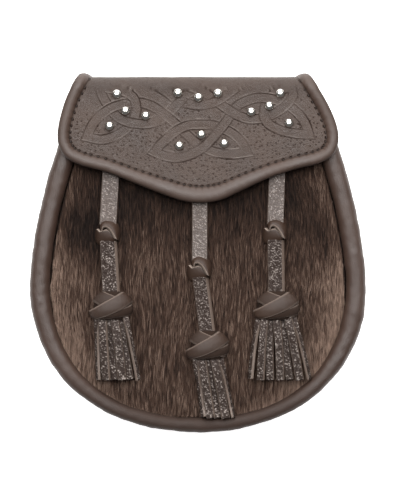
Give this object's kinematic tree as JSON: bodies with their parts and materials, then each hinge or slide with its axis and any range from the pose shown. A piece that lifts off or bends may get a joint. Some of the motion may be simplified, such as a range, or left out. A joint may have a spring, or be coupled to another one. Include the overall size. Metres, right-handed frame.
{
  "type": "sporran pouch",
  "caption": "Leather sporran pouch with a hair-on hide front, rolled welts, a pointed studded flap and leather tassels, lying on its back.",
  "frame": {"origin": "middle of the whole object's box, on the surface that the back welt lies on", "axes": "+X to the pouch's right as seen from the front, +Y from the round bottom to the top fold, +Z out of the front"},
  "size_m": [0.2016, 0.2155, 0.0472],
  "materials": {
    "welt_leather": "smooth dark brown leather, semi-gloss",
    "flap_leather": "embossed grey-brown leather, semi-gloss",
    "back_leather": "plain dark brown leather, satin",
    "tassel_leather": "crinkle-grained glossy leather with light cut edges",
    "hair_on_hide": "short dark brown hair lying down on the hide",
    "nickel": "polished nickel"
  },
  "bodies": {
    "root": {"back_panel": "back_leather", "back_welt": "welt_leather", "gusset": "welt_leather", "front_welt": "welt_leather", "front_panel": "hair_on_hide", "flap": "flap_leather", "flap_piping": "flap_leather", "press_stud": "nickel", "belt_loop_left": "back_leather", "belt_loop_right": "back_leather", "stud_01": "nickel", "stud_02": "nickel", "stud_03": "nickel", "stud_04": "nickel", "stud_05": "nickel", "stud_06": "nickel", "stud_07": "nickel", "stud_08": "nickel", "stud_09": "nickel", "stud_10": "nickel", "stud_11": "nickel", "stud_12": "nickel", "stud_13": "nickel", "stud_14": "nickel", "tassel_left_upper_strap": "tassel_leather", "tassel_left_hitch": "tassel_leather", "tassel_left_lower_strap": "tassel_leather", "tassel_left_woven_head": "tassel_leather", "tassel_left_fringe": "tassel_leather", "tassel_centre_upper_strap": "tassel_leather", "tassel_centre_hitch": "tassel_leather", "tassel_centre_lower_strap": "tassel_leather", "tassel_centre_woven_head": "tassel_leather", "tassel_centre_fringe": "tassel_leather", "tassel_right_upper_strap": "tassel_leather", "tassel_right_hitch": "tassel_leather", "tassel_right_lower_strap": "tassel_leather", "tassel_right_woven_head": "tassel_leather", "tassel_right_fringe": "tassel_leather"}
  },
  "joints": []
}
